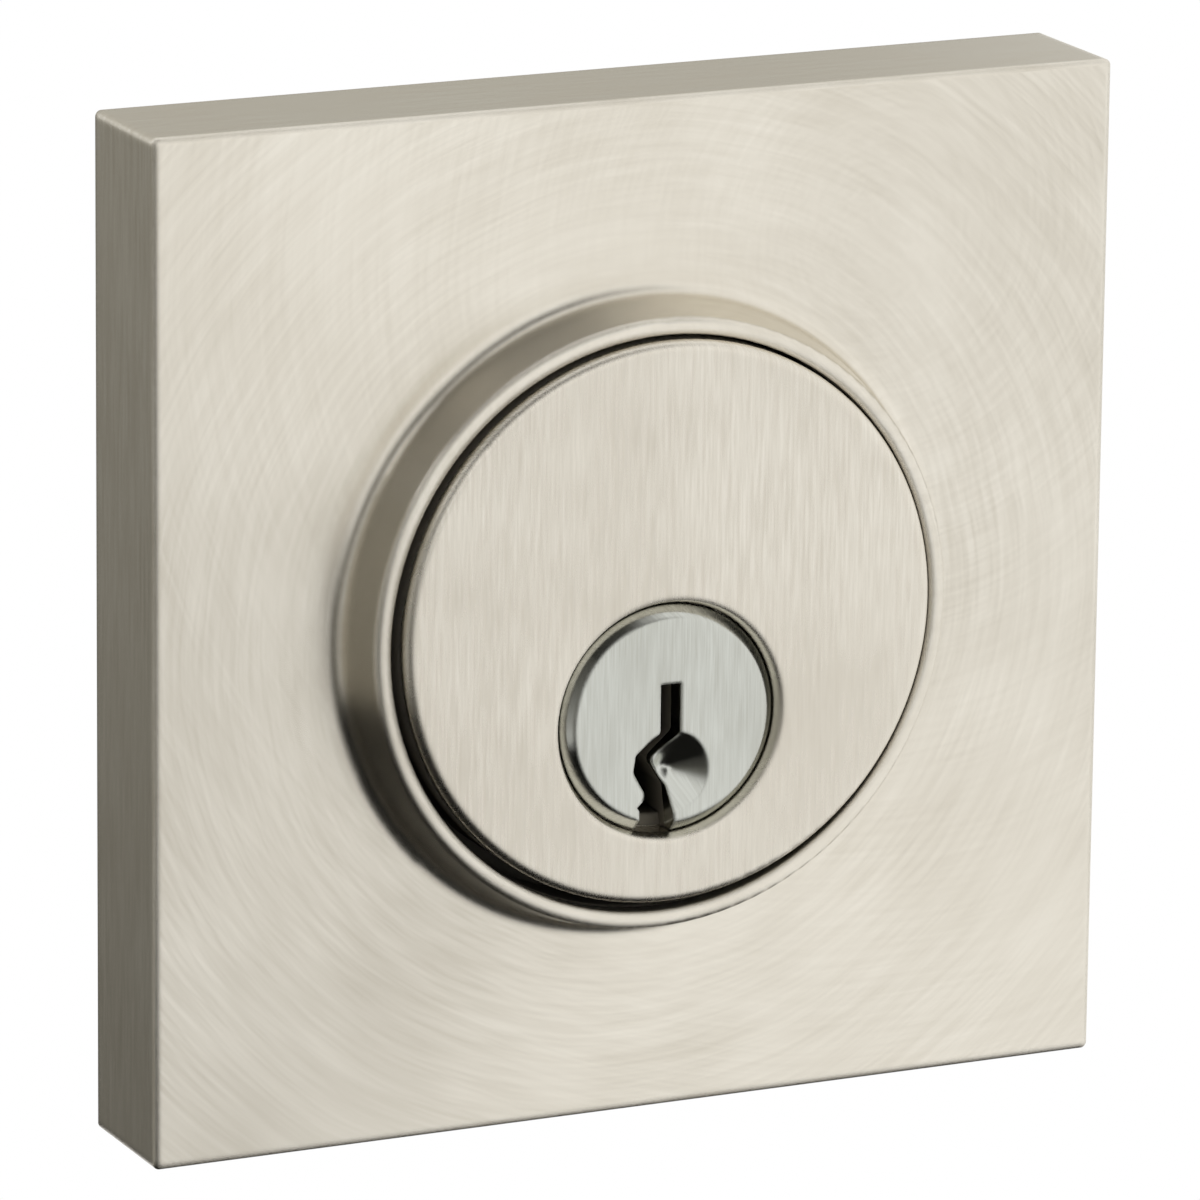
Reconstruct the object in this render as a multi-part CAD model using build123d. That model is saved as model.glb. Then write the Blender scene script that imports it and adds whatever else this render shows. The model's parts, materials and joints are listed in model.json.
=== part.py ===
from build123d import *
import os
from math import sqrt

# Single-cylinder deadbolt with square roses, for a bored door. All sizes are millimetres.
# X runs along the bolt towards the door's edge, Y runs through the door from the outside
# to the inside, and Z is up. The origin is the centre of the outside rose on the door.
# At rest the bolt is drawn back and the keyway and the thumbturn stand upright.

# Door that the lock fits
DOOR_THICKNESS = 44.45
BACKSET = 60.325
FACE_BORE = 53.975
EDGE_BORE = 25.4
FACE_BORE_CLEARANCE = 1.0
EDGE_BORE_CLEARANCE = 1.7

# Square roses
ROSE_SIZE = 63.5
ROSE_DEPTH = 9.0
ROSE_WALL = 2.5
ROSE_SKIN = 3.0
ROSE_CORNER = 0.4
ROSE_EDGE = 0.2
ROSE_INNER_CORNER = 2.0

# Raised ring of the outside rose, and the seat inside it for the cylinder's head
RING_BORE = 36.0
RING_HEIGHT = 3.9
RING_LAND = 1.0
RING_TAPER = 0.8
RING_FOOT = 0.9
RING_ROUND = 0.3
RING_BREAK = 0.1
SEAT_DEPTH = 1.0

# Cylinder shell, which sits a little high in the ring's clearance
CYLINDER_RISE = 0.3
HEAD_DIAMETER = 35.0
HEAD_PROUD = 1.0
HEAD_ROUND = 0.5
SPIGOT_DIAMETER = 30.6
SPIGOT_CLEARANCE = 0.5
SPIGOT_RECESS = 0.05
BARREL_WALL = 2.2
BIBLE_WIDTH = 8.4
SHELL_BACK_WALL = 0.8

# Key plug, and the groove between its flange and the head
PLUG_DROP = 6.0
PLUG_DIAMETER = 12.7
PLUG_FIT = 0.05
PLUG_PROUD = 0.1
FLANGE_DIAMETER = 14.2
FLANGE_DEPTH = 2.2
FLANGE_BEVEL = 0.7
FLANGE_CLEARANCE = 0.1
MOUTH_WIDTH = 0.3
MOUTH_DEPTH = 0.6
PLUG_TAIL = 1.4

# Keyway, drawn about the plug's axis as X and Z, and its conical lead-in
KEYWAY_TOP = 2.3
KEYWAY_RIGHT = [(0.65, -0.95), (-1.1, -2.5), (0.05, -4.3)]
KEYWAY_LEFT = [(-2.05, -5.5), (-2.2, -5.25), (-1.5, -4.6), (-2.45, -3.05), (-2.35, -1.95), (-0.7, -0.75)]
KEYWAY_BENDS = (-4.8, -0.5)
KEYWAY_ROUND = 0.45
KEYWAY_FOOT_RIGHT = 0.5
LEAD_IN_DROP = 3.2
LEAD_IN_DIAMETER = 5.1
LEAD_IN_DEPTH = 1.3

# Pin stacks, at the heights that the right key lifts them to
KEY_PIN_LENGTHS = [4.2, 5.2, 3.8, 4.8, 4.4]
FIRST_PIN_WALL = 0.3
PIN_PITCH = 3.8
PIN_DIAMETER = 2.9
PIN_FIT = 0.08
PIN_POINT = 0.8
DRIVER_LENGTH = 5.0
DRIVER_ROUND = 0.25
SPRING_LENGTH = 5.4
SPRING_WIRE = 0.45
SPRING_TURNS = 4
SPRING_END_GAP = 0.05
COVER_WIDTH = 5.0
COVER_THICKNESS = 1.0
COVER_FIT = 0.05

# Pieces that close and carry the cylinder
DRILL_PIN_DIAMETER = 2.4
DRILL_PIN_LENGTH = 5.6
DRILL_PIN_SIDE = 9.4
DRILL_PIN_DROP = 1.0
CLIP_THICKNESS = 0.6
CLIP_PLAY = 0.05
CLIP_GROOVE = 0.8
CLIP_REACH = 1.9
CLIP_MOUTH = 7.0
TAILPIECE_WIDTH = 5.0
TAILPIECE_THICKNESS = 2.2
TAILPIECE_FIT = 0.1
TAILPIECE_SEAT = 2.3
TAILPIECE_PIN_DIAMETER = 1.0
MOUNT_PLATE_THICKNESS = 3.0
MOUNT_PLATE_CLEARANCE = 0.3
POST_SPACING = 39.0
POST_DIAMETER = 8.0
POST_TENON = 6.0
POST_LENGTH = 12.0
CYLINDER_SCREW_DIAMETER = 3.0
CYLINDER_SCREW_LENGTH = 8.0
CYLINDER_SCREW_SIDE = 11.5
CYLINDER_SCREW_RISE = 4.0

# Bolt unit
THROW = 25.4
TUBE_WALL = 1.0
BOLT_TUBE_FIT = 0.4
BOLT_THICKNESS = 15.0
BOLT_CHAMFER = 1.0
BOLT_REST_GAP = 0.4
ROLLER_DIAMETER = 4.4
ROLLER_LENGTH = 26.0
ROLLER_DROP = 4.6
CASE_PLATE_THICKNESS = 1.2
CASE_HALF_GAP = 2.9
CASE_HALF_HEIGHT = 11.0
CASE_REACH = 13.5
CASE_TONGUE = 3.5
CASE_TONGUE_FIT = 0.2
CASE_RIVET_DIAMETER = 2.6
CASE_SPACER_DIAMETER = 4.4
CASE_RIVET_DROP = 7.6
CASE_RIVET_REAR = 10.0
CASE_RIVET_FRONT = 11.0
HUB_DIAMETER = 7.6
HUB_FIT = 0.06
HUB_BOSS_DIAMETER = 9.6
HUB_SIDE_PLAY = 0.2
LEVER_THICKNESS = 2.4
LEVER_EYE_WALL = 1.3
LEVER_TAIL_GAP = 0.3
CRANK_PIN_DIAMETER = 4.0
NOTCH_CLEARANCE = 0.8
NOTCH_ARM = 3.0
NOTCH_FLOOR_GAP = 0.6
TAIL_THICKNESS = 2.3
TAIL_HUB_GAP = 1.7
TAIL_BAR_HEIGHT = 7.0
TAIL_TIP_DROP = 1.0
TAIL_IN_BOLT = 10.0
TAIL_TRAVEL_GAP = 0.5
TAIL_FIT = 0.1
TAIL_RIVET_DIAMETER = 2.4
TAIL_RIVET_SPACING = 4.4

# Faceplate in the door's edge
FACEPLATE_WIDTH = 25.4
FACEPLATE_HEIGHT = 57.15
FACEPLATE_THICKNESS = 2.4
FACEPLATE_CORNER = 6.35
FACEPLATE_ROUND = 0.4
BACKING_THICKNESS = 1.6
BACKING_INSET = 0.5
TUBE_SEAT_FIT = 0.05
BOLT_OPENING_FIT = 0.25
EDGE_SCREW_SPACING = 41.275
EDGE_SCREW_HOLE = 4.6
EDGE_SCREW_SINK = 8.4

# Inside trim
INSIDE_PLATE_THICKNESS = 2.0
INSIDE_PLATE_CLEARANCE = 0.75
INSIDE_PLATE_CORNER = 4.0
INSIDE_PLATE_WINDOW = 18.0
LUG_WIDTH = 12.0
LUG_THICKNESS = 1.6
LUG_SKIN_GAP = 0.4
SET_SCREW_DIAMETER = 3.0
SET_SCREW_INSET = 0.4
SET_SCREW_SOCKET = 1.5
THROUGH_SCREW_DIAMETER = 4.0
THROUGH_SCREW_FIT = 0.05
THROUGH_SCREW_HOLE = 4.8
THROUGH_SCREW_GRIP = 9.0
SCREW_HEAD_RATIO = 1.9
SCREW_HEAD_HEIGHT = 2.0
SCREW_SLOT_WIDTH = 0.9
SCREW_SLOT_DEPTH = 0.8
STEM_DIAMETER = 15.0
STEM_FIT = 0.08
STEM_PLATE_GAP = 0.5
BUSH_WALL = 1.5
BUSH_FLANGE = 2.0
BUSH_FLANGE_THICKNESS = 1.2
BUSH_RECESS = 0.05
TURN_CLIP_THICKNESS = 0.8
TURN_CLIP_GROOVE = 0.9
TURN_CLIP_REACH = 2.0
TURN_COLLAR_DIAMETER = 22.0
TURN_COLLAR_THICKNESS = 2.4
TURN_COLLAR_GAP = 0.1
TURN_COLLAR_ROUND = 0.6
TURN_WIDTH = 7.0
TURN_HEIGHT = 32.0
TURN_REACH = 17.0
TURN_CORNER = 3.0
TURN_ROUND = 1.0

# Planes along Y, from the outside to the inside
rose_front = -ROSE_DEPTH
land_y = rose_front - RING_HEIGHT
head_face = land_y - HEAD_PROUD
plug_face = head_face - PLUG_PROUD
seat_y = rose_front + SEAT_DEPTH
skin_back = rose_front + ROSE_SKIN
spigot_back = skin_back - SPIGOT_RECESS
mount_plate_back = skin_back + MOUNT_PLATE_THICKNESS
post_end = mount_plate_back + POST_LENGTH
bolt_y = DOOR_THICKNESS / 2
inside_plate_back = DOOR_THICKNESS + INSIDE_PLATE_THICKNESS
inside_skin = DOOR_THICKNESS + ROSE_DEPTH - ROSE_SKIN
inside_face = DOOR_THICKNESS + ROSE_DEPTH

# Radii of the ring, the cylinder and the plug
ring_bore_r = RING_BORE / 2
land_r = ring_bore_r + RING_LAND
foot_r = land_r + RING_TAPER
head_r = HEAD_DIAMETER / 2
spigot_r = SPIGOT_DIAMETER / 2
plug_r = PLUG_DIAMETER / 2
plug_bore_r = plug_r + PLUG_FIT
flange_r = FLANGE_DIAMETER / 2
flange_bore_r = flange_r + FLANGE_CLEARANCE
flange_back = plug_face + FLANGE_DEPTH
mouth_r = flange_bore_r + MOUTH_WIDTH
barrel_r = plug_bore_r + BARREL_WALL
head_z = CYLINDER_RISE
plug_z = head_z - PLUG_DROP

# Pin chambers
pin_r = PIN_DIAMETER / 2
chamber_r = pin_r + PIN_FIT
first_pin_y = spigot_back + chamber_r + FIRST_PIN_WALL
pin_rows = [first_pin_y + PIN_PITCH * i for i in range(len(KEY_PIN_LENGTHS))]
key_pin_top = plug_z + sqrt((plug_r - PLUG_FIT) ** 2 - pin_r**2)
pin_hole_floor = key_pin_top - max(KEY_PIN_LENGTHS) - PIN_FIT
driver_bottom = plug_z + plug_bore_r + PLUG_FIT
driver_top = driver_bottom + DRIVER_LENGTH
cover_bottom = driver_top + SPRING_LENGTH
bible_top = cover_bottom + COVER_THICKNESS
shell_rear = pin_rows[-1] + chamber_r + SHELL_BACK_WALL

# Rear of the plug
clip_front = shell_rear + CLIP_PLAY
clip_rear = clip_front + CLIP_THICKNESS
groove_rear = clip_rear + CLIP_PLAY
clip_groove_r = plug_r - CLIP_GROOVE
plug_rear = groove_rear + PLUG_TAIL
tailpiece_front = plug_rear - TAILPIECE_SEAT
tailpiece_pin_y = groove_rear + PLUG_TAIL / 2

# Crank that draws the bolt: the pin stands 45 degrees each side of upright at its limits
crank_x = -THROW / 2
crank_z = plug_z + THROW / 2
crank_r = THROW / sqrt(2)
crank_pin_r = CRANK_PIN_DIAMETER / 2
notch_half = crank_pin_r + NOTCH_CLEARANCE
fork_half = notch_half + NOTCH_ARM
hub_r = HUB_DIAMETER / 2
hub_boss_r = HUB_BOSS_DIAMETER / 2
lever_back = bolt_y - CASE_HALF_GAP + HUB_SIDE_PLAY + LEVER_THICKNESS
tail_front_y = lever_back + LEVER_TAIL_GAP
tail_back_y = tail_front_y + TAIL_THICKNESS
tail_bottom = plug_z + hub_boss_r + TAIL_HUB_GAP
tail_top = plug_z + crank_r - TAIL_TIP_DROP

# Bolt unit along X
tube_r = EDGE_BORE / 2 - EDGE_BORE_CLEARANCE
tube_bore_r = tube_r - TUBE_WALL
bolt_r = tube_bore_r - BOLT_TUBE_FIT
tube_rear = THROW / 2 + fork_half + TAIL_TRAVEL_GAP
case_front = tube_rear + CASE_TONGUE
bolt_rear = case_front + BOLT_REST_GAP
case_outside = CASE_HALF_GAP + CASE_PLATE_THICKNESS
faceplate_back = BACKSET - FACEPLATE_THICKNESS
backing_back = faceplate_back - BACKING_THICKNESS
post_z = POST_SPACING / 2

# Thumbturn along Y
stem_r = STEM_DIAMETER / 2
stem_end = inside_plate_back + STEM_PLATE_GAP
bush_bore_r = stem_r + STEM_FIT
bush_r = bush_bore_r + BUSH_WALL
bush_back = inside_skin - BUSH_FLANGE_THICKNESS
turn_clip_rear = bush_back - CLIP_PLAY
turn_clip_front = turn_clip_rear - TURN_CLIP_THICKNESS
collar_back = inside_face + TURN_COLLAR_GAP
collar_front = collar_back + TURN_COLLAR_THICKNESS
tailpiece_end = inside_face - TAILPIECE_FIT

FROM_BASE = (Align.CENTER, Align.CENTER, Align.MIN)


def rod_x(radius, start, end, y, z):
    """A round bar along X."""
    return Plane((start, y, z), z_dir=(1, 0, 0)) * Cylinder(radius, end - start, align=FROM_BASE)


def rod_y(radius, start, end, x=0, z=0):
    """A round bar along Y."""
    return Plane((x, start, z), z_dir=(0, 1, 0)) * Cylinder(radius, end - start, align=FROM_BASE)


def rod_z(radius, start, end, y, x=0):
    """A round bar along Z."""
    return Pos(x, y, start) * Cylinder(radius, end - start, align=FROM_BASE)


def block(x, y, z):
    """A block between two limits along each axis."""
    limits = (x, y, z)
    middle = [(low + high) / 2 for low, high in limits]
    return Pos(*middle) * Box(*[high - low for low, high in limits])


def plate_y(outline, start, end):
    """An outline drawn in X and Z, made solid along Y."""
    plane = Plane((0, end, 0), x_dir=(1, 0, 0), z_dir=(0, -1, 0))
    return extrude(plane * outline, amount=end - start)


def plate_x(outline, start, end):
    """An outline drawn in Y and Z about the bolt's centreline, made solid along X."""
    plane = Plane((start, bolt_y, 0), x_dir=(0, 1, 0), z_dir=(1, 0, 0))
    return extrude(plane * outline, amount=end - start)


def turned(profile, z=0):
    """A closed profile of (radius, y) points turned about a line along Y."""
    return Pos(0, 0, z) * revolve(make_face(Polyline(*profile, close=True)), Axis.Y)


def circles_at(part, y, radius):
    """The round edges of a part that lie at this y and have this radius."""
    found = part.edges().filter_by(GeomType.CIRCLE)
    return found.filter_by(lambda e: abs(e.arc_center.Y - y) < 0.01 and abs(e.radius - radius) < 0.01)


def pan_screw(diameter, length):
    """A slotted pan-head screw: the head's underside on y = 0, the shank towards -Y."""
    head_radius = diameter / 2 * SCREW_HEAD_RATIO
    head = rod_y(head_radius, 0, SCREW_HEAD_HEIGHT)
    head = fillet(circles_at(head, SCREW_HEAD_HEIGHT, head_radius), SCREW_HEAD_HEIGHT / 3)
    slot_floor = SCREW_HEAD_HEIGHT - SCREW_SLOT_DEPTH
    half_slot = SCREW_SLOT_WIDTH / 2
    slot = block((-head_radius, head_radius), (slot_floor, SCREW_HEAD_HEIGHT), (-half_slot, half_slot))
    return head - slot + rod_y(diameter / 2, -length, 0)


def spring_clip(inner_r, outer_r, start, end, mouth):
    """A C-shaped clip about the plug's axis, open downwards."""
    ring = rod_y(outer_r, start, end, z=plug_z) - rod_y(inner_r, start, end, z=plug_z)
    return ring - block((-mouth / 2, mouth / 2), (start, end), (plug_z - outer_r, plug_z))


def tailpiece_slot(start, end):
    """The slot that takes the tailpiece."""
    half_x = TAILPIECE_THICKNESS / 2 + TAILPIECE_FIT
    half_z = TAILPIECE_WIDTH / 2 + TAILPIECE_FIT
    return block((-half_x, half_x), (start, end), (plug_z - half_z, plug_z + half_z))


# Outside trim


def rose_blank():
    """A hollow square rose with its rim on y = 0 and its face towards -Y."""
    rose = plate_y(RectangleRounded(ROSE_SIZE, ROSE_SIZE, ROSE_CORNER), rose_front, 0)
    rose = fillet(rose.faces().sort_by(Axis.Y)[0].edges(), ROSE_EDGE)
    inner = ROSE_SIZE - 2 * ROSE_WALL
    return rose - plate_y(RectangleRounded(inner, inner, ROSE_INNER_CORNER), skin_back, 0)


def make_outside_rose():
    """The rose with its raised ring, and the seat and lip for the cylinder's head."""
    wall = [
        (ring_bore_r, seat_y),
        (ring_bore_r, land_y),
        (land_r, land_y),
        (foot_r, rose_front),
        (foot_r, seat_y),
    ]
    rose = rose_blank() + turned(wall)
    rose = fillet(circles_at(rose, rose_front, foot_r), RING_FOOT)
    rose = fillet(circles_at(rose, land_y, land_r), RING_ROUND)
    rose -= rod_y(ring_bore_r, land_y, seat_y)
    rose -= rod_y(spigot_r + SPIGOT_CLEARANCE, seat_y, skin_back)
    return chamfer(circles_at(rose, land_y, ring_bore_r), RING_BREAK)


def make_cylinder_shell():
    """The shell: a round head, a barrel round the plug and a bible that holds the pins."""
    head = rod_y(head_r, head_face, seat_y, z=head_z)
    shell = fillet(circles_at(head, head_face, head_r), HEAD_ROUND)
    shell += rod_y(spigot_r, seat_y, spigot_back, z=head_z)
    shell += rod_y(barrel_r, seat_y, shell_rear, z=plug_z)
    half = BIBLE_WIDTH / 2
    shell += block((-half, half), (seat_y, shell_rear), (plug_z, bible_top))
    shell -= rod_y(plug_bore_r, head_face, shell_rear, z=plug_z)
    shell -= rod_y(flange_bore_r, head_face, flange_back + FLANGE_CLEARANCE, z=plug_z)
    mouth_back = head_face + MOUTH_DEPTH
    mouth = [(0, head_face), (mouth_r, head_face), (flange_bore_r, mouth_back), (0, mouth_back)]
    shell -= turned(mouth, z=plug_z)
    for y in pin_rows:
        shell -= rod_z(chamber_r, plug_z, bible_top, y)
    groove = COVER_WIDTH / 2 + COVER_FIT
    shell -= block((-groove, groove), (spigot_back, shell_rear), (cover_bottom, bible_top))
    for side in (-1, 1):
        shell -= drill_pin(side)
        shell -= cylinder_screw_shank(side)
    return shell


def keyway_outline():
    """The warded slot, drawn about the plug's axis and open at the plug's foot."""
    foot = -(flange_r + LEAD_IN_DEPTH)
    right = [(KEYWAY_RIGHT[0][0], KEYWAY_TOP)] + KEYWAY_RIGHT + [(KEYWAY_FOOT_RIGHT, foot)]
    left = [(KEYWAY_LEFT[0][0], foot)] + KEYWAY_LEFT + [(KEYWAY_LEFT[-1][0], KEYWAY_TOP)]
    outline = make_face(Polyline(*right, *left, close=True))
    bends = outline.vertices().filter_by_position(Axis.Y, *KEYWAY_BENDS)
    return fillet(bends, KEYWAY_ROUND)


def make_key_plug():
    """The plug, with its bevelled flange, keyway, pin holes and rear slot."""
    flange = [
        (0, plug_face),
        (flange_r - FLANGE_BEVEL, plug_face),
        (flange_r, plug_face + FLANGE_BEVEL),
        (flange_r, flange_back),
        (0, flange_back),
    ]
    plug = turned(flange, z=plug_z) + rod_y(plug_r, flange_back, plug_rear, z=plug_z)
    plug -= plate_y(Pos(0, plug_z) * keyway_outline(), plug_face, pin_rows[-1])
    lead_in = [(0, plug_face), (LEAD_IN_DIAMETER / 2, plug_face), (0, plug_face + LEAD_IN_DEPTH)]
    plug -= turned(lead_in, z=plug_z - LEAD_IN_DROP)
    for y in pin_rows:
        plug -= rod_z(chamber_r, pin_hole_floor, plug_z + plug_r, y)
    groove = rod_y(plug_r, shell_rear, groove_rear, z=plug_z)
    plug -= groove - rod_y(clip_groove_r, shell_rear, groove_rear, z=plug_z)
    plug -= tailpiece_slot(tailpiece_front - TAILPIECE_FIT, plug_rear)
    return plug - make_tailpiece_pin()


def make_key_pin(y, length):
    """A pointed pin in the plug, with its top just under the shear line."""
    pin = rod_z(pin_r, key_pin_top - length, key_pin_top, y)
    return chamfer(pin.edges().sort_by(Axis.Z)[0], PIN_POINT)


def make_driver_pin(y):
    """A driver pin in the shell, just above the shear line."""
    pin = rod_z(pin_r, driver_bottom, driver_top, y)
    return chamfer(pin.edges().filter_by(GeomType.CIRCLE), DRIVER_ROUND)


def make_pin_spring(y):
    """A coil spring between a driver pin and the cover."""
    rise = SPRING_LENGTH - SPRING_WIRE - 2 * SPRING_END_GAP
    path = Helix(pitch=rise / SPRING_TURNS, height=rise, radius=pin_r - SPRING_WIRE / 2)
    wire = Plane(origin=path @ 0, z_dir=path % 0) * Rectangle(SPRING_WIRE, SPRING_WIRE)
    coil = sweep(wire, path=path, is_frenet=True)
    return Pos(0, y, driver_top + SPRING_END_GAP + SPRING_WIRE / 2) * coil


def make_spring_cover():
    """The strip that closes the chambers."""
    half = COVER_WIDTH / 2
    return block((-half, half), (spigot_back, shell_rear), (cover_bottom, bible_top))


def drill_pin(side):
    """A hardened pin beside the plug, set into the head from behind."""
    x = side * DRILL_PIN_SIDE
    start = spigot_back - DRILL_PIN_LENGTH
    return rod_y(DRILL_PIN_DIAMETER / 2, start, spigot_back, x=x, z=-DRILL_PIN_DROP)


def make_tailpiece_pin():
    """The cross pin that holds the tailpiece in the plug."""
    reach = sqrt(plug_r**2 - (TAILPIECE_PIN_DIAMETER / 2) ** 2)
    return rod_x(TAILPIECE_PIN_DIAMETER / 2, -reach, reach, tailpiece_pin_y, plug_z)


def make_tailpiece():
    """The flat bar that carries the turn through the door."""
    half_x = TAILPIECE_THICKNESS / 2
    half_z = TAILPIECE_WIDTH / 2
    bar = block((-half_x, half_x), (tailpiece_front, tailpiece_end), (plug_z - half_z, plug_z + half_z))
    tip = bar.faces().sort_by(Axis.Y)[-1].edges()
    return chamfer(tip, TAILPIECE_THICKNESS / 4) - make_tailpiece_pin()


def make_mount_plate():
    """The round plate behind the rose, cut out round the cylinder's barrel and bible."""
    plate = rod_y(FACE_BORE / 2 - FACE_BORE_CLEARANCE, skin_back, mount_plate_back)
    plate -= rod_y(barrel_r + MOUNT_PLATE_CLEARANCE, skin_back, mount_plate_back, z=plug_z)
    half = BIBLE_WIDTH / 2 + MOUNT_PLATE_CLEARANCE
    top = bible_top + MOUNT_PLATE_CLEARANCE
    plate -= block((-half, half), (skin_back, mount_plate_back), (plug_z, top))
    for side in (-1, 1):
        plate -= rod_y(POST_TENON / 2, skin_back, mount_plate_back, z=side * post_z)
        plate -= cylinder_screw_shank(side)
    return plate


def make_screw_post(side):
    """A threaded post on the mounting plate, above or below the cylinder."""
    post = rod_y(POST_DIAMETER / 2, mount_plate_back, post_end, z=side * post_z)
    post += rod_y(POST_TENON / 2, skin_back, mount_plate_back, z=side * post_z)
    bore = THROUGH_SCREW_DIAMETER / 2 + THROUGH_SCREW_FIT
    return post - rod_y(bore, mount_plate_back, post_end, z=side * post_z)


def cylinder_screw_shank(side):
    """The hole that a cylinder screw fills, through the plate and into the head."""
    x = side * CYLINDER_SCREW_SIDE
    start = mount_plate_back - CYLINDER_SCREW_LENGTH
    return rod_y(CYLINDER_SCREW_DIAMETER / 2, start, mount_plate_back, x=x, z=CYLINDER_SCREW_RISE)


def make_cylinder_screw(side):
    """A screw that pulls the head and the plate together across the rose's lip."""
    place = Pos(side * CYLINDER_SCREW_SIDE, mount_plate_back, CYLINDER_SCREW_RISE)
    return place * pan_screw(CYLINDER_SCREW_DIAMETER, CYLINDER_SCREW_LENGTH)


# Bolt unit


def bolt_section(clearance=0.0):
    """The bolt's section: a round bar with two flats."""
    round_bar = Circle(bolt_r + clearance)
    return round_bar & Rectangle(BOLT_THICKNESS + 2 * clearance, 2 * (bolt_r + clearance))


def make_dead_bolt():
    """The bolt, with a slot for its tail and a bore for the hardened roller."""
    bolt = plate_x(bolt_section(), bolt_rear, BACKSET)
    bolt = chamfer(bolt.faces().sort_by(Axis.X)[-1].edges(), BOLT_CHAMFER)
    slot_y = (tail_front_y - TAIL_FIT, tail_back_y + TAIL_FIT)
    slot_z = (tail_bottom - TAIL_FIT, tail_bottom + TAIL_BAR_HEIGHT + TAIL_FIT)
    bolt -= block((bolt_rear, bolt_rear + TAIL_IN_BOLT + TAIL_FIT), slot_y, slot_z)
    bolt -= make_bolt_roller()
    return bolt - make_tail_rivet(-1) - make_tail_rivet(1)


def make_bolt_roller():
    """The hardened rod in the bolt, against sawing."""
    return rod_x(ROLLER_DIAMETER / 2, bolt_rear, bolt_rear + ROLLER_LENGTH, bolt_y, -ROLLER_DROP)


def make_tail_rivet(side):
    """A rivet through the bolt and its tail, flush with the bolt's flats."""
    z = tail_bottom + TAIL_BAR_HEIGHT / 2
    top = z + TAIL_RIVET_DIAMETER / 2
    half = min(BOLT_THICKNESS / 2, sqrt(bolt_r**2 - top**2))
    x = bolt_rear + TAIL_IN_BOLT / 2 + side * TAIL_RIVET_SPACING / 2
    return rod_y(TAIL_RIVET_DIAMETER / 2, bolt_y - half, bolt_y + half, x=x, z=z)


def make_bolt_tail():
    """The flat tail: a bar from the bolt to a fork that the crank pin works in."""
    fork_rear = crank_x - fork_half
    fork_front = crank_x + fork_half
    bar_front = bolt_rear + TAIL_IN_BOLT
    thickness = (tail_front_y, tail_back_y)
    bar = block((fork_rear, bar_front), thickness, (tail_bottom, tail_bottom + TAIL_BAR_HEIGHT))
    fork = block((fork_rear, fork_front), thickness, (tail_bottom, tail_top))
    notch_floor = crank_z - crank_pin_r - NOTCH_FLOOR_GAP
    notch = block((crank_x - notch_half, crank_x + notch_half), thickness, (notch_floor, tail_top))
    tail = bar + fork - notch
    corners = tail.edges().filter_by(Axis.Y).group_by(Axis.Z)[-1]
    tail = fillet(corners, NOTCH_ARM / 3)
    return tail - make_tail_rivet(-1) - make_tail_rivet(1)


def make_bolt_tube():
    """The tube in the door's edge, from the case plates into the backing plate."""
    return plate_x(Circle(tube_r) - Circle(tube_bore_r), tube_rear, faceplate_back)


def case_plate(start, end):
    """One side plate of the case, with the hub's bearing and a tongue inside the tube."""
    height = 2 * CASE_HALF_HEIGHT
    length = tube_rear + CASE_REACH
    body = Pos((tube_rear - CASE_REACH) / 2, 0) * RectangleRounded(length, height, ROSE_INNER_CORNER)
    tongue_half = sqrt(tube_bore_r**2 - case_outside**2) - CASE_TONGUE_FIT
    tongue = Pos(case_front / 2, 0) * Rectangle(case_front, 2 * tongue_half)
    plate = plate_y(body + tongue, start, end)
    plate -= rod_y(hub_r + HUB_FIT, start, end, z=plug_z)
    return plate - make_case_rivet(-CASE_RIVET_REAR) - make_case_rivet(CASE_RIVET_FRONT)


def make_case_rivet(x):
    """A shouldered rivet that holds the side plates apart."""
    z = -CASE_RIVET_DROP
    tenon = rod_y(CASE_RIVET_DIAMETER / 2, bolt_y - case_outside, bolt_y + case_outside, x=x, z=z)
    spacer = rod_y(CASE_SPACER_DIAMETER / 2, bolt_y - CASE_HALF_GAP, bolt_y + CASE_HALF_GAP, x=x, z=z)
    return tenon + spacer


def make_hub_cam():
    """The hub that the tailpiece turns, with its lever."""
    boss = CASE_HALF_GAP - HUB_SIDE_PLAY
    hub = rod_y(hub_r, bolt_y - case_outside, bolt_y + case_outside, z=plug_z)
    hub += rod_y(hub_boss_r, bolt_y - boss, bolt_y + boss, z=plug_z)
    root = Pos(0, plug_z) * Circle(hub_boss_r)
    eye = Pos(crank_x, crank_z) * Circle(crank_pin_r + LEVER_EYE_WALL)
    lever = make_hull(root.edges() + eye.edges())
    hub += plate_y(lever, lever_back - LEVER_THICKNESS, lever_back)
    hub -= tailpiece_slot(bolt_y - case_outside, bolt_y + case_outside)
    return hub - make_crank_pin()


def make_crank_pin():
    """The pin on the lever that works in the tail's fork."""
    return rod_y(crank_pin_r, lever_back - LEVER_THICKNESS, tail_back_y, x=crank_x, z=crank_z)


def edge_screw_holes(start, end):
    """The two screw holes of the faceplate."""
    half = EDGE_SCREW_SPACING / 2
    radius = EDGE_SCREW_HOLE / 2
    return [rod_x(radius, start, end, bolt_y, z) for z in (-half, half)]


def make_backing_plate():
    """The plate behind the faceplate that the tube is staked into."""
    width = FACEPLATE_WIDTH - 2 * BACKING_INSET
    height = FACEPLATE_HEIGHT - 2 * BACKING_INSET
    outline = RectangleRounded(width, height, FACEPLATE_CORNER - BACKING_INSET)
    plate = plate_x(outline - Circle(tube_r + TUBE_SEAT_FIT), backing_back, faceplate_back)
    return plate - edge_screw_holes(backing_back, faceplate_back)


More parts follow.
